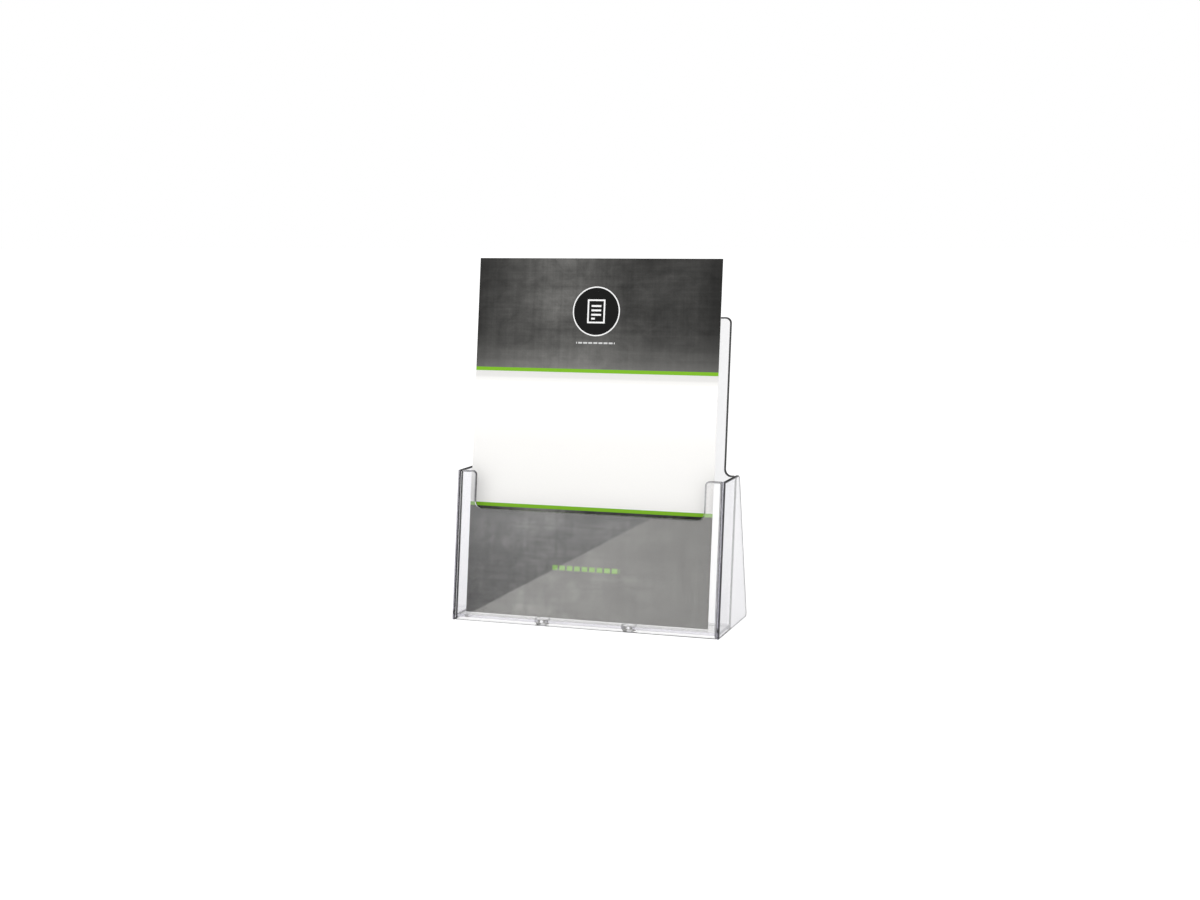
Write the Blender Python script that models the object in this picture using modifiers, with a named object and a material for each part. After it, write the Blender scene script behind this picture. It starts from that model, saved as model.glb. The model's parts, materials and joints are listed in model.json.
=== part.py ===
# Free-standing A4 portrait leaflet holder in clear moulded plastic, with one
# printed leaflet standing in its pocket.
#
# Frame: metres, +Z up, the pocket's front faces -Y and +X is to its right as
# seen from the front. The origin is on the table, under the middle of the base.

import math

import bmesh
import bpy
from mathutils import Matrix, Vector

MM = 0.001

# ---------------------------------------------------------------- dimensions
GAP = 0.3 * MM                  # joint gap between touching pieces

OUTER_WIDTH = 230.0 * MM        # outside of one side panel to the other
BASE_DEPTH = 91.0 * MM          # front edge of the base to the rear feet
FOOT_CORNER = 91.76 * MM        # where the rear edge's slope would meet the table
LEAN = math.radians(7.18)       # lean-back of the pocket and the leaflet
WALL = 2.5 * MM                 # wall thickness of the mouldings

SIDE_HEIGHT = 124.0 * MM        # pocket sides and front ears
SIDE_TOP_DEPTH = 63.3 * MM      # where the rear foot's sloping edge meets the top
SIDE_TOP_RADIUS = 6.0 * MM
SIDE_FOOT_RADIUS = 3.0 * MM

CUT_BOTTOM = 93.0 * MM          # bottom of the front panel's finger cut-out
CUT_HALF_WIDTH = 98.3 * MM
CUT_RADIUS = 5.5 * MM           # rounded lower corners of the cut-out
EAR_RADIUS = 3.5 * MM           # rounded upper corners beside the cut-out

POCKET_DEPTH = 40.8 * MM        # front face to rear face of the pocket, along Y
BACK_HEIGHT = 252.0 * MM
BACK_HALF_WIDTH = 105.0 * MM    # the back panel above the pocket sides
BACK_TOP_RADIUS = 5.0 * MM
BACK_SHOULDER_RADIUS = 5.0 * MM

FLOOR_UNDERSIDE = 2.0 * MM
FLOOR_THICKNESS = 2.5 * MM

BOSS_X = 37.5 * MM              # left and right of the middle
BOSS_Y = 9.5 * MM               # behind the front edge of the base
BOSS_RADIUS = 5.8 * MM
BOSS_HOLE_RADIUS = 6.1 * MM     # hole in the floor around each boss

LEAFLET_WIDTH = 210.0 * MM      # A4
LEAFLET_HEIGHT = 297.0 * MM
LEAFLET_THICKNESS = 0.4 * MM
LEAFLET_BEHIND_FRONT = 11.9 * MM
LEAFLET_X = -2.2 * MM           # it stands slightly left of the middle

EDGE_BEVEL = 0.35 * MM          # softened moulded edges

TAN_LEAN = math.tan(LEAN)
HALF_WIDTH = OUTER_WIDTH / 2.0
INNER_HALF = HALF_WIDTH - WALL - GAP
Y_FRONT = -BASE_DEPTH / 2.0
WALL_Y = WALL / math.cos(LEAN)  # a leaning wall's thickness, measured along Y

CLEAR = (0.90, 0.91, 0.94, 0.30)
CLEAR_BOSS = (0.80, 0.81, 0.85, 0.35)
PAPER = (0.86, 0.86, 0.85, 1.0)


# ------------------------------------------------------------------- helpers
def clear_scene():
    for ob in list(bpy.data.objects):
        bpy.data.objects.remove(ob, do_unlink=True)


def make_collection(name):
    col = bpy.data.collections.new(name)
    bpy.context.scene.collection.children.link(col)
    return col


def material(name, colour, roughness):
    mat = bpy.data.materials.new(name)
    mat.use_nodes = True
    bsdf = mat.node_tree.nodes["Principled BSDF"]
    bsdf.inputs["Base Color"].default_value = (colour[0], colour[1], colour[2], 1.0)
    bsdf.inputs["Alpha"].default_value = colour[3]
    bsdf.inputs["Roughness"].default_value = roughness
    bsdf.inputs["Metallic"].default_value = 0.0
    mat.diffuse_color = colour
    return mat


def rounded_outline(corners, segments=6):
    """Outline of a polygon whose corners (u, v, radius) are rounded."""
    points = []
    count = len(corners)
    for i in range(count):
        here = Vector(corners[i][:2])
        before = Vector(corners[i - 1][:2])
        after = Vector(corners[(i + 1) % count][:2])
        radius = corners[i][2]
        to_before = (before - here).normalized()
        to_after = (after - here).normalized()
        if radius <= 0.0:
            points.append(here)
            continue
        half = to_before.angle(to_after) / 2.0
        start = here + to_before * (radius / math.tan(half))
        end = here + to_after * (radius / math.tan(half))
        centre = here + (to_before + to_after).normalized() * (radius / math.sin(half))
        a0 = math.atan2(start.y - centre.y, start.x - centre.x)
        a1 = math.atan2(end.y - centre.y, end.x - centre.x)
        sweep = (a1 - a0 + math.pi) % (2.0 * math.pi) - math.pi
        for k in range(segments + 1):
            a = a0 + sweep * k / segments
            points.append(centre + Vector((math.cos(a), math.sin(a))) * radius)
    return points


def plate(name, outline, thickness):
    """Flat plate cut to an outline in its own XY plane, centred on z = 0."""
    curve = bpy.data.curves.new(name + "_outline", "CURVE")
    curve.dimensions = "2D"
    curve.fill_mode = "BOTH"
    curve.extrude = thickness / 2.0
    spline = curve.splines.new("POLY")
    spline.points.add(len(outline) - 1)
    for point, p in zip(spline.points, outline):
        point.co = (p.x, p.y, 0.0, 1.0)
    spline.use_cyclic_u = True
    holder = bpy.data.objects.new(name + "_curve", curve)
    bpy.context.scene.collection.objects.link(holder)
    bpy.context.view_layer.update()
    depsgraph = bpy.context.evaluated_depsgraph_get()
    mesh = bpy.data.meshes.new_from_object(holder.evaluated_get(depsgraph))
    mesh.name = name
    bpy.data.objects.remove(holder, do_unlink=True)
    bpy.data.curves.remove(curve)
    bm = bmesh.new()
    bm.from_mesh(mesh)
    bmesh.ops.remove_doubles(bm, verts=bm.verts, dist=0.000001)
    bmesh.ops.dissolve_limit(
        bm, angle_limit=math.radians(0.5), verts=bm.verts, edges=bm.edges
    )
    bmesh.ops.recalc_face_normals(bm, faces=bm.faces)
    bm.to_mesh(mesh)
    bm.free()
    return mesh


def transform_mesh(mesh, matrix):
    bm = bmesh.new()
    bm.from_mesh(mesh)
    bmesh.ops.transform(bm, matrix=matrix, verts=bm.verts)
    bmesh.ops.recalc_face_normals(bm, faces=bm.faces)
    bm.to_mesh(mesh)
    bm.free()


def new_object(name, mesh, mat, col, location):
    ob = bpy.data.objects.new(name, mesh)
    ob.data.materials.clear()
    ob.data.materials.append(mat)
    ob.location = location
    col.objects.link(ob)
    return ob


def soften(ob, width=EDGE_BEVEL, angle=35.0):
    mod = ob.modifiers.new("moulded_edges", "BEVEL")
    mod.width = width
    mod.segments = 1
    mod.limit_method = "ANGLE"
    mod.angle_limit = math.radians(angle)
    mod.use_clamp_overlap = True
    return mod


def subtract(ob, cutter):
    mod = ob.modifiers.new("cut_" + cutter.name, "BOOLEAN")
    mod.operation = "DIFFERENCE"
    mod.solver = "EXACT"
    mod.object = cutter


def cylinder_mesh(name, radius, depth, segments):
    mesh = bpy.data.meshes.new(name)
    bm = bmesh.new()
    bmesh.ops.create_cone(
        bm,
        cap_ends=True,
        cap_tris=False,
        segments=segments,
        radius1=radius,
        radius2=radius,
        depth=depth,
    )
    bm.to_mesh(mesh)
    bm.free()
    return mesh


def shade_round(mesh, angle=40.0):
    for polygon in mesh.polygons:
        polygon.use_smooth = True
    mesh.set_sharp_from_angle(angle=math.radians(angle))


# A plate drawn in XY stands up in XZ, facing -Y.
STAND_UP = Matrix.Rotation(math.radians(90.0), 4, "X")
# Leaning back: every point moves back along Y in proportion to its height,
# so horizontal edges stay horizontal.
LEAN_BACK = Matrix.Identity(4)
LEAN_BACK[1][2] = TAN_LEAN


# -------------------------------------------------------------- side panels
def side_panel(name, side, mat, col):
    """Pocket side and rear foot in one plate: front edge leans with the pocket,
    rear edge slopes down and back to the foot."""
    outline = rounded_outline(
        [
            (0.0, 0.0, 0.0),
            (FOOT_CORNER, 0.0, SIDE_FOOT_RADIUS),
            (SIDE_TOP_DEPTH, SIDE_HEIGHT, SIDE_TOP_RADIUS),
            (SIDE_HEIGHT * TAN_LEAN, SIDE_HEIGHT, 0.0),
        ],
        segments=6,
    )
    mesh = plate(name, outline, WALL)
    # own XY plane -> world YZ plane, plate thickness along X
    transform_mesh(
        mesh,
        Matrix(((0, 0, 1, 0), (1, 0, 0, 0), (0, 1, 0, 0), (0, 0, 0, 1))),
    )
    ob = new_object(
        name, mesh, mat, col, (side * (HALF_WIDTH - WALL / 2.0), Y_FRONT, 0.0)
    )
    soften(ob)
    return ob


# ------------------------------------------------------------- front panel
def front_panel(mat, col):
    """Pocket front with a wide finger cut-out that leaves an ear at each end."""
    outline = rounded_outline(
        [
            (-INNER_HALF, 0.0, 0.0),
            (INNER_HALF, 0.0, 0.0),
            (INNER_HALF, SIDE_HEIGHT, 0.0),
            (CUT_HALF_WIDTH, SIDE_HEIGHT, EAR_RADIUS),
            (CUT_HALF_WIDTH, CUT_BOTTOM, CUT_RADIUS),
            (-CUT_HALF_WIDTH, CUT_BOTTOM, CUT_RADIUS),
            (-CUT_HALF_WIDTH, SIDE_HEIGHT, EAR_RADIUS),
            (-INNER_HALF, SIDE_HEIGHT, 0.0),
        ],
        segments=6,
    )
    mesh = plate("front_panel", outline, WALL_Y)
    transform_mesh(mesh, LEAN_BACK @ STAND_UP)
    ob = new_object(
        "front_panel", mesh, mat, col, (0.0, Y_FRONT + WALL_Y / 2.0, 0.0)
    )
    soften(ob)
    return ob


# -------------------------------------------------------------- back panel
def back_panel(mat, col):
    """Tall leaning back with shoulders that meet the tops of the side panels."""
    outline = rounded_outline(
        [
            (-INNER_HALF, 0.0, 0.0),
            (INNER_HALF, 0.0, 0.0),
            (INNER_HALF, SIDE_HEIGHT, 0.0),
            (BACK_HALF_WIDTH, SIDE_HEIGHT, BACK_SHOULDER_RADIUS),
            (BACK_HALF_WIDTH, BACK_HEIGHT, BACK_TOP_RADIUS),
            (-BACK_HALF_WIDTH, BACK_HEIGHT, BACK_TOP_RADIUS),
            (-BACK_HALF_WIDTH, SIDE_HEIGHT, BACK_SHOULDER_RADIUS),
            (-INNER_HALF, SIDE_HEIGHT, 0.0),
        ],
        segments=6,
    )
    mesh = plate("back_panel", outline, WALL_Y)
    transform_mesh(mesh, LEAN_BACK @ STAND_UP)
    ob = new_object(
        "back_panel",
        mesh,
        mat,
        col,
        (0.0, Y_FRONT + POCKET_DEPTH - WALL_Y / 2.0, 0.0),
    )
    soften(ob)
    return ob


# ------------------------------------------------------------ pocket floor
def pocket_floor(mat, col, cutters):
    """Shelf that the leaflets stand on, with a round hole for each boss."""
    top = FLOOR_UNDERSIDE + FLOOR_THICKNESS
    y0 = Y_FRONT + WALL_Y + top * TAN_LEAN + GAP
    y1 = Y_FRONT + POCKET_DEPTH - WALL_Y + FLOOR_UNDERSIDE * TAN_LEAN - GAP
    mesh = bpy.data.meshes.new("pocket_floor")
    bm = bmesh.new()
    bmesh.ops.create_cube(bm, size=1.0)
    bmesh.ops.scale(
        bm, vec=(2.0 * INNER_HALF, y1 - y0, FLOOR_THICKNESS), verts=bm.verts
    )
    bm.to_mesh(mesh)
    bm.free()
    ob = new_object(
        "pocket_floor",
        mesh,
        mat,
        col,
        (0.0, (y0 + y1) / 2.0, FLOOR_UNDERSIDE + FLOOR_THICKNESS / 2.0),
    )
    for tag, side in (("left", -1), ("right", 1)):
        hole = bpy.data.objects.new(
            "cutter_" + tag,
            cylinder_mesh("cutter_" + tag, BOSS_HOLE_RADIUS, 4.0 * FLOOR_THICKNESS, 40),
        )
        hole.location = (
            side * BOSS_X,
            Y_FRONT + BOSS_Y,
            FLOOR_UNDERSIDE + FLOOR_THICKNESS / 2.0,
        )
        hole.hide_render = True
        hole.display_type = "WIRE"
        cutters.objects.link(hole)
        subtract(ob, hole)
    soften(ob, 0.25 * MM)
    return ob


# ------------------------------------------------------------- floor bosses
def floor_boss(name, side, mat, col):
    """Short solid boss from the table up to the floor's top face."""
    height = FLOOR_UNDERSIDE + FLOOR_THICKNESS
    ob = new_object(
        name,
        cylinder_mesh(name, BOSS_RADIUS, height, 40),
        mat,
        col,
        (side * BOSS_X, Y_FRONT + BOSS_Y, height / 2.0),
    )
    soften(ob, 0.25 * MM)
    shade_round(ob.data)
    return ob


# ------------------------------------------------------------------ leaflet
def leaflet(mat, col, root):
    """A4 card leaflet, its origin at the middle of its bottom edge, tilted with
    the pocket about X. It lifts out along its own height."""
    mesh = bpy.data.meshes.new("leaflet")
    bm = bmesh.new()
    bmesh.ops.create_cube(bm, size=1.0)
    bmesh.ops.scale(
        bm,
        vec=(LEAFLET_WIDTH, LEAFLET_THICKNESS, LEAFLET_HEIGHT),
        verts=bm.verts,
    )
    bmesh.ops.translate(bm, vec=(0.0, 0.0, LEAFLET_HEIGHT / 2.0), verts=bm.verts)
    bm.to_mesh(mesh)
    bm.free()
    rest = FLOOR_UNDERSIDE + FLOOR_THICKNESS + GAP
    rest += LEAFLET_THICKNESS / 2.0 * math.sin(LEAN)
    slide = bpy.data.objects.new("leaflet_slide", None)
    slide.empty_display_size = 0.02
    slide.location = (
        LEAFLET_X,
        Y_FRONT + LEAFLET_BEHIND_FRONT + rest * TAN_LEAN,
        rest,
    )
    slide.rotation_euler = (-LEAN, 0.0, 0.0)
    root.objects.link(slide)
    ob = new_object("leaflet", mesh, mat, col, (0.0, 0.0, 0.0))
    ob.parent = slide
    return ob


def main():
    clear_scene()
    col = make_collection("leaflet_holder")
    cutters = make_collection("cutters")

    panel_mat = {
        name: material(name, CLEAR, 0.05)
        for name in (
            "front_panel",
            "back_panel",
            "side_panel_left",
            "side_panel_right",
            "pocket_floor",
        )
    }
    boss_mat = {
        name: material(name, CLEAR_BOSS, 0.08)
        for name in ("floor_boss_left", "floor_boss_right")
    }
    paper = material("leaflet", PAPER, 0.45)

    side_panel("side_panel_left", -1, panel_mat["side_panel_left"], col)
    side_panel("side_panel_right", 1, panel_mat["side_panel_right"], col)
    front_panel(panel_mat["front_panel"], col)
    back_panel(panel_mat["back_panel"], col)
    pocket_floor(panel_mat["pocket_floor"], col, cutters)
    floor_boss("floor_boss_left", -1, boss_mat["floor_boss_left"], col)
    floor_boss("floor_boss_right", 1, boss_mat["floor_boss_right"], col)
    leaflet(paper, col, col)
    bpy.context.view_layer.update()


main()
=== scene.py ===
# Looks of the clear leaflet holder and its printed leaflet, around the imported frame.
import json
import math

import bmesh
import bpy
from mathutils import Matrix, Vector


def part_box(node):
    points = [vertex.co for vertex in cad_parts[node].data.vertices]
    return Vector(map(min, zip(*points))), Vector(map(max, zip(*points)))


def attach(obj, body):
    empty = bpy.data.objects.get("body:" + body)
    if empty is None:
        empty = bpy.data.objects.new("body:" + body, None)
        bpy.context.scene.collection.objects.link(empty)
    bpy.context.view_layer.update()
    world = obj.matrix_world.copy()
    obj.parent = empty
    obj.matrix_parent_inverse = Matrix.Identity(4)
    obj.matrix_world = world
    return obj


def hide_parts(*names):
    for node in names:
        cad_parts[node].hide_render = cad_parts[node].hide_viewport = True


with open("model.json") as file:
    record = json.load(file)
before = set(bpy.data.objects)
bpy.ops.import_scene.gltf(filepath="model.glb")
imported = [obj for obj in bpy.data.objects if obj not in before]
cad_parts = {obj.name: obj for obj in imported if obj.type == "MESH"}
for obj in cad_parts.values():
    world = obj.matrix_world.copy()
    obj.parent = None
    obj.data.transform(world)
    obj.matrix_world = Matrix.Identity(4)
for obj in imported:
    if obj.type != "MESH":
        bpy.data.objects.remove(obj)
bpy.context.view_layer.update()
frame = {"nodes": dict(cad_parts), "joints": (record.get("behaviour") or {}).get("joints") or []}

MM = 0.001
scene = bpy.context.scene
scene.view_settings.view_transform = "Standard"
scene.view_settings.look = "None"
scene.view_settings.exposure = 0.0
scene.view_settings.gamma = 1.0

# ------------------------------------------------------------------- sizes
LIFT = next(j for j in frame["joints"] if j["name"] == "leaflet_lift")
LEAN = math.atan2(LIFT["axis"][1], LIFT["axis"][2])
LOW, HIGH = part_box("leaflet")
SHEET_W = HIGH.x - LOW.x
SHEET_T = 0.4 * MM
SHEET_H = (HIGH.z - LOW.z - SHEET_T * math.sin(LEAN)) / math.cos(LEAN)


DENSITY = 34.0                  # absorption along the way through the plastic
SIDE_DENSITY = 26.0
TINT = (0.71, 0.70, 0.755, 1.0)
INK = 0.79                      # print tones under this light
PAPER = 0.858
GREEN = 0.80
FLOOR_GLOW = 0.80
FLOOR_SEEN = 0.96
CARD = 2.6
BACK_SKY = [(0.0, 0.92), (0.05, 0.86), (0.14, 0.58), (0.30, 0.36), (0.60, 0.42), (1.0, 0.36)]
FRONT_SKY = [
    (0.0, 0.95), (0.026, 1.0), (0.089, 1.8), (0.20, 1.7), (0.50, 2.0), (0.77, 1.5), (0.90, 0.4), (1.0, 0.1),
]


# ------------------------------------------------------------------ helpers
def srgb(value):
    v = value / 255.0
    return v / 12.92 if v <= 0.04045 else ((v + 0.055) / 1.055) ** 2.4


def rgb(r, g, b, share=1.0):
    return (srgb(r) * share, srgb(g) * share, srgb(b) * share, 1.0)


class Nodes:
    """Short hand for building a node tree."""

    def __init__(self, tree):
        self.tree = tree
        self.nodes = tree.nodes
        self.links = tree.links

    def add(self, kind, **settings):
        node = self.nodes.new(kind)
        for key, value in settings.items():
            setattr(node, key, value)
        return node

    def plug(self, source, target):
        if isinstance(source, (int, float)):
            target.default_value = source
        elif isinstance(source, (tuple, list)):
            target.default_value = source
        else:
            self.links.new(source, target)

    def math(self, operation, a, b=0.0, c=0.0, clamp=False):
        node = self.add("ShaderNodeMath", operation=operation, use_clamp=clamp)
        self.plug(a, node.inputs[0])
        self.plug(b, node.inputs[1])
        if operation in ("MULTIPLY_ADD", "SMOOTH_MIN", "SMOOTH_MAX", "WRAP", "COMPARE"):
            self.plug(c, node.inputs[2])
        return node.outputs[0]

    def mix(self, factor, a, b, blend="MIX"):
        node = self.add("ShaderNodeMix", data_type="RGBA", blend_type=blend)
        self.plug(factor, node.inputs[0])
        self.plug(a, node.inputs[6])
        self.plug(b, node.inputs[7])
        return node.outputs[2]

    def ramp(self, value, low, high, to_low=0.0, to_high=1.0, smooth=False):
        node = self.add("ShaderNodeMapRange")
        node.interpolation_type = "SMOOTHSTEP" if smooth else "LINEAR"
        node.clamp = True
        self.plug(value, node.inputs["Value"])
        node.inputs["From Min"].default_value = low
        node.inputs["From Max"].default_value = high
        node.inputs["To Min"].default_value = to_low
        node.inputs["To Max"].default_value = to_high
        return node.outputs["Result"]

    def curve(self, value, points):
        """Curve through (position, grey) points, eased between them, as a colour ramp."""
        low, high = points[0][0], points[-1][0]
        share = self.ramp(value, low, high)
        node = self.add("ShaderNodeValToRGB")
        ramp = node.color_ramp
        ramp.interpolation = "EASE"
        while len(ramp.elements) < len(points):
            ramp.elements.new(0.5)
        for element, (at, grey) in zip(ramp.elements, points):
            element.position = (at - low) / (high - low)
            element.color = (grey, grey, grey, 1.0)
        self.plug(share, node.inputs[0])
        return node.outputs[0]

    def noise(self, vector, scale, detail=4.0, roughness=0.55, distortion=0.0):
        node = self.add("ShaderNodeTexNoise")
        self.plug(vector, node.inputs["Vector"])
        node.inputs["Scale"].default_value = scale
        node.inputs["Detail"].default_value = detail
        node.inputs["Roughness"].default_value = roughness
        node.inputs["Distortion"].default_value = distortion
        return node.outputs[0]


def new_material(name):
    material = bpy.data.materials.new(name)
    material.use_nodes = True
    tree = material.node_tree
    bsdf = tree.nodes["Principled BSDF"]
    return material, Nodes(tree), bsdf


# ------------------------------------------------------------ clear plastic
def clear_plastic(name, rim=(0.4, 0.4, 0.4), body=(1.0, 1.0, 1.0), density=DENSITY, painted_limb_shade=False):
    """Polished clear polystyrene. It bends light and takes a slight violet-grey
    tint where the way through it is long. It has the faint flow waviness and
    handling smudges of a moulding, and a turned piece can take painted shade
    at its limbs, where its upright faces turn edge-on to the view."""
    material, n, bsdf = new_material(name)
    bsdf.inputs["Transmission Weight"].default_value = 1.0
    bsdf.inputs["IOR"].default_value = 1.57
    coord = n.add("ShaderNodeTexCoord")
    colour = (1.0, 1.0, 1.0, 1.0)
    # Painted shade: upright faces darken towards rim where they turn edge-on to the view.
    if painted_limb_shade:
        facing = n.add("ShaderNodeLayerWeight")
        facing.inputs["Blend"].default_value = 0.5
        edge = n.ramp(facing.outputs["Facing"], 0.025, 0.10, 0.0, 1.0, smooth=True)
        turned = n.add("ShaderNodeSeparateXYZ")
        n.plug(coord.outputs["Normal"], turned.inputs[0])
        upright = n.ramp(n.math("ABSOLUTE", turned.outputs[2]), 0.4, 0.8, 1.0, 0.0)
        edge = n.math("MULTIPLY", edge, upright)
        n.plug(
            n.mix(edge, (1.0, 1.0, 1.0, 1.0), (rim[0], rim[1], rim[2], 1.0)),
            bsdf.inputs["Base Color"],
        )
    else:
        cloud = n.noise(coord.outputs["Object"], 30.0, 3.0)
        r, g, b = body
        n.plug(
            n.mix(n.ramp(cloud, 0.35, 0.7), (r, g, b, 1.0), (0.975 * r, 0.975 * g, 0.98 * b, 1.0)),
            bsdf.inputs["Base Color"],
        )
    smudge = n.noise(coord.outputs["Object"], 46.0, 5.0, 0.62, 0.4)
    n.plug(n.ramp(smudge, 0.52, 0.78, 0.0, 0.045, smooth=True), bsdf.inputs["Roughness"])
    flow = n.noise(coord.outputs["Object"], 24.0, 2.0, 0.4, 0.2)
    bump = n.add("ShaderNodeBump")
    bump.inputs["Strength"].default_value = 0.12
    bump.inputs["Distance"].default_value = 0.00006
    n.plug(flow, bump.inputs["Height"])
    n.plug(bump.outputs[0], bsdf.inputs["Normal"])
    absorb = n.add("ShaderNodeVolumeAbsorption")
    absorb.inputs["Color"].default_value = TINT
    absorb.inputs["Density"].default_value = density
    n.links.new(absorb.outputs[0], n.nodes["Material Output"].inputs["Volume"])
    return material


wall_plastic = clear_plastic("clear_leaning_wall")
# Painted shade: the side walls are the front walls' plastic with a greyer body so they read darker, and a lower
# absorption density.
side_plastic_shaded = clear_plastic("clear_side_wall_shaded", body=(0.94, 0.935, 0.955), density=SIDE_DENSITY)
floor_plastic = clear_plastic("clear_pocket_floor")
# rim here is the near-black colour of the painted limb shade on the bosses.
boss_plastic = clear_plastic("clear_boss", rim=(0.002, 0.002, 0.002), painted_limb_shade=True)


def painted_rim_shade(name, low, high):
    """The outermost millimetre of a wall, tinted darker as painted shade so that it
    reads as the dark outline the holder shows along its rims. The tint is a
    stand-in for that shade, and says nothing about the plastic itself."""
    material, n, bsdf = new_material(name)
    bsdf.inputs["Transmission Weight"].default_value = 1.0
    bsdf.inputs["IOR"].default_value = 1.57
    place = n.add("ShaderNodeTexCoord").outputs["Object"]
    run = n.noise(place, 60.0, 4.0, 0.6, 0.5)
    n.plug(
        n.mix(n.ramp(run, 0.32, 0.68), (low, low, low * 1.04, 1.0), (high, high, high * 1.04, 1.0)),
        bsdf.inputs["Base Color"],
    )
    n.plug(n.ramp(n.noise(place, 220.0, 3.0), 0.4, 0.75, 0.0, 0.08, smooth=True), bsdf.inputs["Roughness"])
    absorb = n.add("ShaderNodeVolumeAbsorption")
    absorb.inputs["Color"].default_value = TINT
    absorb.inputs["Density"].default_value = DENSITY
    n.links.new(absorb.outputs[0], n.nodes["Material Output"].inputs["Volume"])
    return material


# Painted shade: a dark and a grey tint for the outer band of the wall rims.
dark_rim_shade = painted_rim_shade("dark_rim_shade", 0.020, 0.065)
grey_rim_shade = painted_rim_shade("grey_rim_shade", 0.42, 0.62)
# Material slots: clear plastic, then the dark and the grey painted rim shade.
CLEAR, DARK_SHADE, GREY_SHADE = 0, 1, 2


# ------------------------------------------------- walls with moulded rims and painted rim shade
TAN = math.tan(LEAN)
WALL = 2.5 * MM
WALL_Y = WALL / math.cos(LEAN)
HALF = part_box("side_panel_right")[1].x
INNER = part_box("front_panel")[1].x
SIDE_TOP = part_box("side_panel_right")[1].z
BACK_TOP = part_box("back_panel")[1].z
BASE_FRONT = -45.5 * MM
POCKET = 40.8 * MM
FOOT = 91.76 * MM
FOOT_TOP = 63.3 * MM
CUT_HALF = 98.3 * MM
CUT_BOTTOM = 93.0 * MM
BACK_HALF = 105.0 * MM
RIM = 0.8 * MM                  # radius on an open rim
SEAM = 0.35                     # share of it left on an edge that meets a neighbour
FOOTING = 0.08                  # and on an edge that stands on the table
BAND = 1.25 * MM                # width of the rim band that carries the painted shade

STAND = Matrix.Rotation(math.radians(90.0), 4, "X")
SHEAR = Matrix.Identity(4)
SHEAR[1][2] = TAN
TO_SIDE = Matrix(((0, 0, 1, 0), (1, 0, 0, 0), (0, 1, 0, 0), (0, 0, 0, 1)))


def rounded_outline(corners, segments=8):
    """Points along a polygon whose corners (u, v, radius) are rounded."""
    points = []
    for i in range(len(corners)):
        here = Vector(corners[i][:2])
        to_before = (Vector(corners[i - 1][:2]) - here).normalized()
        to_after = (Vector(corners[(i + 1) % len(corners)][:2]) - here).normalized()
        radius = corners[i][2]
        if radius <= 0.0:
            points.append(here)
            continue
        half = to_before.angle(to_after) / 2.0
        start = here + to_before * (radius / math.tan(half))
        end = here + to_after * (radius / math.tan(half))
        centre = here + (to_before + to_after).normalized() * (radius / math.sin(half))
        a0 = math.atan2(start.y - centre.y, start.x - centre.x)
        a1 = math.atan2(end.y - centre.y, end.x - centre.x)
        sweep = (a1 - a0 + math.pi) % (2.0 * math.pi) - math.pi
        for k in range(segments + 1):
            a = a0 + sweep * k / segments
            points.append(centre + Vector((math.cos(a), math.sin(a))) * radius)
    return points


def wall(name, node, outline, thickness, matrix, weight, look, material):
    """A moulded wall: an outline given thickness. weight(midpoint, upper) is the
    share of RIM that rounds an edge loop, upper being the loop on the plate's own
    +Z side, and look(midpoint, place) picks the material of the lower band, the
    two halves of the rim and the upper band along it: clear, or painted rim shade."""
    count = len(outline)
    turn = sum(outline[i].cross(outline[(i + 1) % count]) for i in range(count))
    sign = 1.0 if turn > 0 else -1.0
    inner = []
    for i in range(count):
        before = (outline[i] - outline[i - 1]).normalized()
        after = (outline[(i + 1) % count] - outline[i]).normalized()
        a = Vector((-before.y, before.x)) * sign
        b = Vector((-after.y, after.x)) * sign
        inner.append(outline[i] + (a + b) * (BAND / (1.0 + a.dot(b))))
    mesh = bpy.data.meshes.new(name)
    bm = bmesh.new()
    loops = [
        [bm.verts.new((p.x, p.y, z)) for p in points]
        for points, z in (
            (inner, -thickness / 2), (outline, -thickness / 2), (outline, 0.0),
            (outline, thickness / 2), (inner, thickness / 2),
        )
    ]
    bm.faces.new(list(reversed(loops[0])))
    bm.faces.new(loops[4])
    for i in range(count):
        j = (i + 1) % count
        middle = (outline[i] + outline[j]) / 2
        for k, place in enumerate(("lower", "lower_rim", "upper_rim", "upper")):
            face = bm.faces.new((loops[k][i], loops[k][j], loops[k + 1][j], loops[k + 1][i]))
            face.material_index = look(middle, place)
    layer = bm.edges.layers.float.new("bevel_weight_edge")
    for i in range(count):
        j = (i + 1) % count
        middle = (outline[i] + outline[j]) / 2
        for ring, is_upper in ((loops[1], False), (loops[3], True)):
            edge = bm.edges.get((ring[i], ring[j]))
            edge[layer] = weight(middle, is_upper)
    bmesh.ops.transform(bm, matrix=matrix, verts=bm.verts)
    bmesh.ops.recalc_face_normals(bm, faces=bm.faces)
    bm.to_mesh(mesh)
    bm.free()
    for polygon in mesh.polygons:
        polygon.use_smooth = True
    ob = bpy.data.objects.new(name, mesh)
    scene.collection.objects.link(ob)
    for each in (material, dark_rim_shade, grey_rim_shade):
        mesh.materials.append(each)
    bevel = ob.modifiers.new("moulded_rims", "BEVEL")
    bevel.width = RIM
    bevel.segments = 4
    bevel.limit_method = "WEIGHT"
    bevel.use_clamp_overlap = True
    flat = ob.modifiers.new("flat_faces", "WEIGHTED_NORMAL")
    flat.mode = "FACE_AREA"
    flat.weight = 100
    flat.keep_sharp = True
    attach(ob, "holder")
    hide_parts(node)
    return ob


def front_weight(p, upper):
    if abs(p.x) > INNER - 0.1 * MM:
        return SEAM
    return FOOTING if p.y < 0.1 * MM else 1.0


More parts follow.
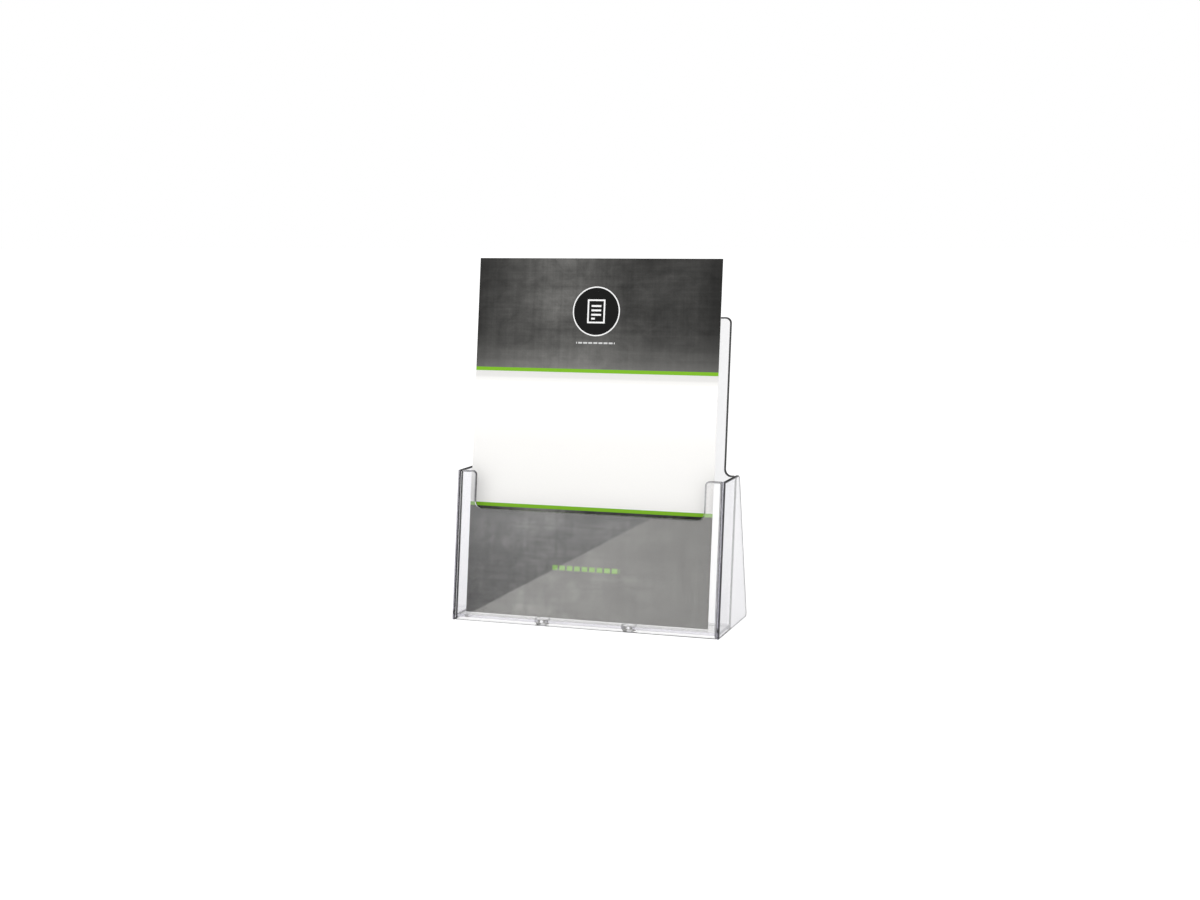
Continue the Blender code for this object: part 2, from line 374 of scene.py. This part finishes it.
# Painted shade: which bands of the front wall take the dark or grey rim shade.
def front_rim_shade(p, place):
    if abs(p.x) > INNER - 0.1 * MM:
        return DARK_SHADE if p.x < 0 or "rim" in place else GREY_SHADE
    if p.y > SIDE_TOP - 0.1 * MM:
        return DARK_SHADE if "rim" in place else GREY_SHADE
    if p.y > CUT_BOTTOM + 6 * MM:
        return GREY_SHADE
    return CLEAR


# Painted shade: which bands of the back wall take the dark rim shade.
def back_rim_shade(p, place):
    if abs(p.x) > INNER - 0.1 * MM:
        return DARK_SHADE
    return CLEAR if p.y < 0.1 * MM else DARK_SHADE


def make_walls():
    side_outline = rounded_outline(
        [(0, 0, 0), (POCKET, 0, 0), (FOOT, 0, 3 * MM), (FOOT_TOP, SIDE_TOP, 6 * MM), (SIDE_TOP * TAN, SIDE_TOP, 0)]
    )
    for side, word in ((-1, "left"), (1, "right")):

        def side_weight(p, upper, side=side):
            outer = upper == (side > 0)
            if p.y < 0.1 * MM:
                return 0.7 if p.x < POCKET else FOOTING
            if p.x - p.y * TAN < 0.1 * MM:
                return 0.5 if outer else SEAM
            return 1.0

        # Painted shade: which bands of a side wall take the dark or grey rim shade.
        def side_rim_shade(p, place, side=side):
            if p.y < 0.1 * MM:
                return DARK_SHADE if p.x < POCKET else GREY_SHADE
            if p.x - p.y * TAN < 0.1 * MM:
                dark = ("upper_rim", "upper") if side > 0 else ("upper_rim",)
                return DARK_SHADE if place in dark else CLEAR
            if p.y < SIDE_TOP - 0.1 * MM and "rim" in place:
                return CLEAR
            return DARK_SHADE

        wall(
            "side_wall_" + word,
            "side_panel_" + word,
            side_outline,
            WALL,
            Matrix.Translation((side * (HALF - WALL / 2), BASE_FRONT, 0)) @ TO_SIDE,
            side_weight,
            side_rim_shade,
            side_plastic_shaded,
        )
    wall(
        "front_wall",
        "front_panel",
        rounded_outline(
            [
                (-INNER, 0, 0), (INNER, 0, 0), (INNER, SIDE_TOP, 0),
                (CUT_HALF, SIDE_TOP, 3.5 * MM), (CUT_HALF, CUT_BOTTOM, 5.5 * MM),
                (-CUT_HALF, CUT_BOTTOM, 5.5 * MM), (-CUT_HALF, SIDE_TOP, 3.5 * MM),
                (-INNER, SIDE_TOP, 0),
            ]
        ),
        WALL_Y,
        Matrix.Translation((0, BASE_FRONT + WALL_Y / 2, 0)) @ SHEAR @ STAND,
        front_weight,
        front_rim_shade,
        wall_plastic,
    )
    wall(
        "back_wall",
        "back_panel",
        rounded_outline(
            [
                (-INNER, 0, 0), (INNER, 0, 0), (INNER, SIDE_TOP, 0),
                (BACK_HALF, SIDE_TOP, 5 * MM), (BACK_HALF, BACK_TOP, 5 * MM),
                (-BACK_HALF, BACK_TOP, 5 * MM), (-BACK_HALF, SIDE_TOP, 5 * MM),
                (-INNER, SIDE_TOP, 0),
            ]
        ),
        WALL_Y,
        Matrix.Translation((0, BASE_FRONT + POCKET - WALL_Y / 2, 0)) @ SHEAR @ STAND,
        front_weight,
        back_rim_shade,
        wall_plastic,
    )


def make_boss(node):
    """Turned boss with a small radius at both ends and a slight moulding draft."""
    low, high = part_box(node)
    centre = (low + high) / 2
    radius = (high.x - low.x) / 2
    height = high.z - low.z
    fillet = 0.45 * MM
    profile = []
    for k in range(5):
        a = math.radians(-90 + 90 * k / 4)
        profile.append((radius - fillet + fillet * math.cos(a), fillet + fillet * math.sin(a)))
    for k in range(5):
        a = math.radians(90 * k / 4)
        profile.append(
            (radius - 0.05 * MM - fillet + fillet * math.cos(a), height - fillet + fillet * math.sin(a))
        )
    count = 64
    bm = bmesh.new()
    rings = []
    for r, z in profile:
        rings.append(
            [
                bm.verts.new(
                    (
                        centre.x + r * math.cos(2 * math.pi * i / count),
                        centre.y + r * math.sin(2 * math.pi * i / count),
                        low.z + z,
                    )
                )
                for i in range(count)
            ]
        )
    for a, b in zip(rings, rings[1:]):
        for i in range(count):
            j = (i + 1) % count
            bm.faces.new((a[i], a[j], b[j], b[i]))
    bm.faces.new(list(reversed(rings[0])))
    bm.faces.new(rings[-1])
    bmesh.ops.recalc_face_normals(bm, faces=bm.faces)
    mesh = bpy.data.meshes.new(node + "_turned")
    bm.to_mesh(mesh)
    bm.free()
    for polygon in mesh.polygons:
        polygon.use_smooth = True
    ob = bpy.data.objects.new(node + "_turned", mesh)
    scene.collection.objects.link(ob)
    mesh.materials.append(boss_plastic)
    flat = ob.modifiers.new("flat_faces", "WEIGHTED_NORMAL")
    flat.weight = 100
    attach(ob, "holder")
    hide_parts(node)
    return ob


make_walls()
make_boss("floor_boss_left")
make_boss("floor_boss_right")
floor_node = frame["nodes"]["pocket_floor"]
floor_node.data.materials.clear()
floor_node.data.materials.append(floor_plastic)


# ------------------------------------------------------------------ leaflet
def leaflet_print():
    """Coated card, printed with two bands of dark concrete, two green rules and a
    plain round page sign. Distances are millimetres across and up the sheet."""
    material, n, bsdf = new_material("leaflet_print")
    place = n.add("ShaderNodeTexCoord").outputs["Object"]
    split = n.add("ShaderNodeSeparateXYZ")
    n.plug(place, split.inputs[0])
    x = n.math("MULTIPLY", split.outputs[0], 1000.0)
    h = n.math("MULTIPLY", split.outputs[2], 1000.0)

    def inside(x0, x1, h0, h1):
        mask = n.math("MULTIPLY", n.math("GREATER_THAN", x, x0), n.math("LESS_THAN", x, x1))
        return n.math(
            "MULTIPLY",
            mask,
            n.math("MULTIPLY", n.math("GREATER_THAN", h, h0), n.math("LESS_THAN", h, h1)),
        )

    def stretched(sx, sz):
        vector = n.add("ShaderNodeVectorMath", operation="MULTIPLY")
        n.plug(place, vector.inputs[0])
        vector.inputs[1].default_value = (sx, 1.0, sz)
        return vector.outputs[0]

    # concrete: light from the left of the middle, smudges, trowel streaks, grain
    level = n.curve(
        x,
        [
            (-105.0, srgb(50)), (-90.0, srgb(60)), (-72.0, srgb(73)), (-55.0, srgb(87)),
            (-38.0, srgb(99)), (-15.0, srgb(93)), (5.0, srgb(81)), (25.0, srgb(72)),
            (60.0, srgb(66)), (85.0, srgb(58)), (105.0, srgb(46)),
        ],
    )
    level_low = n.curve(
        x,
        [
            (-105.0, srgb(78)), (-92.0, srgb(92)), (-75.0, srgb(106)), (-55.0, srgb(116)),
            (-30.0, srgb(117)), (0.0, srgb(112)), (25.0, srgb(108)), (60.0, srgb(86)),
            (85.0, srgb(70)), (105.0, srgb(56)),
        ],
    )
    level = n.mix(n.ramp(h, 78.0, 85.0, 1.0, 0.0), level, level_low)
    cloud = n.ramp(n.noise(place, 17.0, 5.0, 0.60, 0.6), 0.30, 0.72, 0.64, 1.36)
    blotch = n.ramp(n.noise(stretched(1.0, 1.3), 62.0, 5.0, 0.62, 0.5), 0.28, 0.74, 0.72, 1.30)
    across = n.ramp(n.noise(stretched(0.12, 2.6), 95.0, 4.0, 0.6), 0.3, 0.7, 0.84, 1.16)
    down = n.ramp(n.noise(stretched(2.2, 0.10), 110.0, 4.0, 0.6), 0.3, 0.7, 0.87, 1.13)
    grain = n.ramp(n.noise(place, 900.0, 2.0, 0.5), 0.25, 0.75, 0.93, 1.07)
    tone = n.math("MULTIPLY", cloud, blotch)
    for part in (across, down, grain):
        tone = n.math("MULTIPLY", tone, part)
    low_band = n.math("LESS_THAN", h, 100.0)
    tone = n.math("POWER", tone, n.ramp(low_band, 0.0, 1.0, 1.0, 1.45))
    concrete = n.mix(1.0, level, tone, "MULTIPLY")
    lift = n.curve(h, [(206.0, 0.106), (216.0, 0.056), (228.0, 0.018), (240.0, 0.0)])
    above = n.math("GREATER_THAN", h, 205.9)
    lift = n.mix(1.0, lift, above, "MULTIPLY")
    concrete = n.mix(1.0, concrete, lift, "ADD")
    concrete = n.mix(1.0, concrete, (1.0, 0.985, 0.945, 1.0), "MULTIPLY")
    concrete = n.mix(1.0, concrete, (INK, INK, INK, 1.0), "MULTIPLY")

    # round page sign, a dashed line under it, and a row of light green dashes
    cx, ch = -0.6, 253.5
    dx = n.math("SUBTRACT", x, cx)
    dh = n.math("SUBTRACT", h, ch)
    radius = n.math("SQRT", n.math("ADD", n.math("MULTIPLY", dx, dx), n.math("MULTIPLY", dh, dh)))
    disc = n.math("LESS_THAN", radius, 20.4)
    ring = n.math("MULTIPLY", disc, n.math("GREATER_THAN", radius, 19.4))
    page = n.math(
        "SUBTRACT",
        inside(cx - 7.6, cx + 7.6, ch - 9.8, ch + 9.8),
        inside(cx - 6.3, cx + 6.3, ch - 8.5, ch + 8.5),
        clamp=True,
    )
    for bar, width in ((4.4, 4.2), (0.8, 4.2), (-2.8, 4.2), (-6.0, 1.6)):
        page = n.math(
            "MAXIMUM", page, inside(cx - 4.2, cx - 4.2 + 2 * width, ch + bar - 0.75, ch + bar + 0.75)
        )
    white_ink = n.math("MAXIMUM", ring, page)
    pulse = n.math("LESS_THAN", n.math("FRACT", n.math("MULTIPLY", n.math("ADD", x, 200.0), 1 / 4.4)), 0.78)
    dashes = n.math("MULTIPLY", pulse, inside(-17.0, 16.5, 226.8, 228.2))
    pulse = n.math("LESS_THAN", n.math("FRACT", n.math("MULTIPLY", n.math("ADD", x, 199.0), 1 / 6.5)), 0.77)
    green_dashes = n.math("MULTIPLY", pulse, inside(-29.5, 28.8, 39.6, 43.6))

    # the white field: a soft shade under the first rule, greyer towards the second
    paper = rgb(255, 254, 252, PAPER)
    fade = n.curve(
        h,
        [
            (90.0, 0.925), (112.0, 0.94), (140.0, 0.958), (165.0, 1.0), (193.5, 1.0),
            (196.5, 0.93), (199.0, 0.80), (203.0, 0.78),
        ],
    )
    fibre = n.ramp(n.noise(place, 1300.0, 2.0), 0.3, 0.7, 0.985, 1.0)
    paper_colour = n.mix(1.0, n.mix(1.0, paper, fade, "MULTIPLY"), fibre, "MULTIPLY")
    green = rgb(130, 190, 42, GREEN)
    green_light = rgb(152, 214, 82, GREEN)

    colour = concrete
    colour = n.mix(green_dashes, colour, green_light)
    colour = n.mix(disc, colour, rgb(16, 16, 16, 0.8))
    colour = n.mix(white_ink, colour, rgb(250, 250, 250, 0.85))
    colour = n.mix(dashes, colour, rgb(215, 215, 215, 0.8))
    top = above
    line1 = n.math("GREATER_THAN", h, 202.9)
    white = n.math("GREATER_THAN", h, 92.6)
    line2 = n.math("GREATER_THAN", h, 89.6)
    page_colour = n.mix(line2, colour, green)
    page_colour = n.mix(white, page_colour, paper_colour)
    page_colour = n.mix(line1, page_colour, green)
    page_colour = n.mix(top, page_colour, colour)
    n.plug(page_colour, bsdf.inputs["Base Color"])
    coat = n.noise(place, 70.0, 4.0, 0.6)
    n.plug(n.ramp(coat, 0.3, 0.7, 0.50, 0.60), bsdf.inputs["Roughness"])
    bsdf.inputs["Specular IOR Level"].default_value = 0.10
    bump = n.add("ShaderNodeBump")
    bump.inputs["Strength"].default_value = 0.10
    bump.inputs["Distance"].default_value = 0.00004
    n.plug(n.noise(place, 700.0, 3.0), bump.inputs["Height"])
    n.plug(bump.outputs[0], bsdf.inputs["Normal"])
    return material


def leaflet_back():
    """Unprinted side and cut edges: smooth white card with a faint fibre."""
    material, n, bsdf = new_material("leaflet_paper")
    place = n.add("ShaderNodeTexCoord").outputs["Object"]
    fibre = n.noise(place, 420.0, 5.0, 0.65, 0.8)
    cloud = n.noise(place, 22.0, 3.0)
    shade = n.math("MULTIPLY", n.ramp(fibre, 0.3, 0.7, 0.965, 1.0), n.ramp(cloud, 0.3, 0.7, 0.985, 1.0))
    n.plug(n.mix(1.0, (0.86, 0.86, 0.85, 1.0), shade, "MULTIPLY"), bsdf.inputs["Base Color"])
    n.plug(n.ramp(fibre, 0.3, 0.7, 0.50, 0.62), bsdf.inputs["Roughness"])
    bump = n.add("ShaderNodeBump")
    bump.inputs["Strength"].default_value = 0.18
    bump.inputs["Distance"].default_value = 0.00005
    n.plug(fibre, bump.inputs["Height"])
    n.plug(bump.outputs[0], bsdf.inputs["Normal"])
    return material


def make_leaflet():
    mesh = bpy.data.meshes.new("display_leaflet")
    bm = bmesh.new()
    bmesh.ops.create_grid(bm, x_segments=56, y_segments=80, size=0.5)
    bmesh.ops.scale(bm, vec=(SHEET_W, SHEET_H, 1.0), verts=bm.verts)
    bmesh.ops.transform(
        bm,
        matrix=Matrix.Translation((0, 0, SHEET_H / 2)) @ Matrix.Rotation(math.radians(90), 4, "X"),
        verts=bm.verts,
    )
    bm.to_mesh(mesh)
    bm.free()
    ob = bpy.data.objects.new("display_leaflet", mesh)
    scene.collection.objects.link(ob)
    ob.data.materials.append(leaflet_print())
    ob.data.materials.append(leaflet_back())
    solid = ob.modifiers.new("card", "SOLIDIFY")
    solid.thickness = SHEET_T
    solid.offset = 0.0
    solid.material_offset = 1
    solid.material_offset_rim = 1
    foot = SHEET_T / 2 * math.sin(LEAN)
    ob.location = (
        (LOW.x + HIGH.x) / 2,
        LOW.y + SHEET_T / 2 * math.cos(LEAN),
        LOW.z + foot,
    )
    ob.rotation_euler = (-LEAN, 0.0, 0.0)
    bpy.context.view_layer.update()
    return ob


leaflet = make_leaflet()
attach(leaflet, "leaflet")
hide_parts("leaflet")


# -------------------------------------------------------------------- stage
def make_floor():
    """Plain white table that glows faintly, like a light table. What the lens sees
    directly is lifted to clean white."""
    mesh = bpy.data.meshes.new("floor")
    bm = bmesh.new()
    bmesh.ops.create_circle(bm, cap_ends=True, cap_tris=False, segments=96, radius=60.0)
    bm.to_mesh(mesh)
    bm.free()
    ob = bpy.data.objects.new("floor", mesh)
    scene.collection.objects.link(ob)
    material, n, bsdf = new_material("floor")
    n.nodes.remove(bsdf)
    seen = n.add("ShaderNodeLightPath").outputs["Is Camera Ray"]
    glow = n.add("ShaderNodeEmission")
    n.plug(n.ramp(seen, 0.0, 1.0, FLOOR_GLOW, FLOOR_SEEN), glow.inputs["Strength"])
    matt = n.add("ShaderNodeBsdfDiffuse")
    matt.inputs["Color"].default_value = (0.30, 0.30, 0.30, 1.0)
    both = n.add("ShaderNodeAddShader")
    n.links.new(glow.outputs[0], both.inputs[0])
    n.links.new(matt.outputs[0], both.inputs[1])
    n.links.new(both.outputs[0], n.nodes["Material Output"].inputs["Surface"])
    material.cycles.emission_sampling = "NONE"
    ob.data.materials.append(material)
    ob.location = (0, 0, -0.0002)
    return ob


make_floor()


def direction_of(azimuth, elevation):
    """World direction, azimuth in degrees to the left of straight in front."""
    a, e = math.radians(azimuth), math.radians(elevation)
    return Vector((-math.sin(a) * math.cos(e), -math.cos(a) * math.cos(e), math.sin(e)))


def make_studio():
    """A dim room above a bright horizon, with one broad soft light in front and a
    white card low at the front left, whose slanting edge shows in the front wall."""
    world = bpy.data.worlds.new("studio")
    scene.world = world
    world.use_nodes = True
    w = Nodes(world.node_tree)
    background = world.node_tree.nodes["Background"]
    direction = w.add("ShaderNodeTexCoord").outputs["Generated"]
    split = w.add("ShaderNodeSeparateXYZ")
    w.plug(direction, split.inputs[0])
    dx, dy, dz = split.outputs
    level = w.math("SQRT", w.math("ADD", w.math("MULTIPLY", dx, dx), w.math("MULTIPLY", dy, dy)))
    level = w.math("MAXIMUM", level, 0.0001)
    ahead = w.math("DIVIDE", w.math("MULTIPLY", dy, -1.0), level)
    in_front = w.ramp(ahead, 0.30, 0.85, 0.0, 1.0, smooth=True)
    room = w.curve(dz, BACK_SKY)
    soft = w.curve(dz, FRONT_SKY)
    sky = w.mix(in_front, room, soft)
    edge = direction_of(22.54, 0.93).cross(direction_of(16.87, 4.48)).normalized()
    if edge.dot(direction_of(15.0, 1.0)) < 0:
        edge = -edge
    dot = w.add("ShaderNodeVectorMath", operation="DOT_PRODUCT")
    w.plug(direction, dot.inputs[0])
    dot.inputs[1].default_value = edge
    card = w.ramp(dot.outputs["Value"], -0.0006, 0.0006)
    card = w.math("MULTIPLY", card, w.ramp(dz, 0.15, 0.24, 1.0, 0.0, smooth=True))
    right = w.math("DIVIDE", dx, level)
    card = w.math("MULTIPLY", card, w.ramp(right, 0.25, 0.45, 1.0, 0.0, smooth=True))
    card = w.math("MULTIPLY", card, w.ramp(ahead, 0.0, 0.2))
    sky = w.mix(card, sky, (CARD, 0.99 * CARD, 0.955 * CARD, 1.0))
    seen = w.add("ShaderNodeLightPath").outputs["Is Camera Ray"]
    w.plug(w.mix(seen, sky, (1.0, 1.0, 1.0, 1.0)), background.inputs["Color"])
    background.inputs["Strength"].default_value = 1.0


make_studio()

# Clear walls need many bends and bounces before a ray gets out of them.
scene.cycles.max_bounces = 32
scene.cycles.glossy_bounces = 20
scene.cycles.transmission_bounces = 24
scene.cycles.diffuse_bounces = 3

# ------------------------------------------------------------------- camera
camera_data = bpy.data.cameras.new("camera")
camera_data.lens = 51.35
camera_data.sensor_width = 36.0
camera_data.sensor_fit = "HORIZONTAL"
camera_data.clip_start = 0.05
camera_data.clip_end = 100.0
camera = bpy.data.objects.new("camera", camera_data)
scene.collection.objects.link(camera)
camera.location = (0.45347, -1.33296, 0.31394)
camera.rotation_euler = (math.radians(90.0 - 6.973), 0.0, math.radians(18.791))
scene.camera = camera
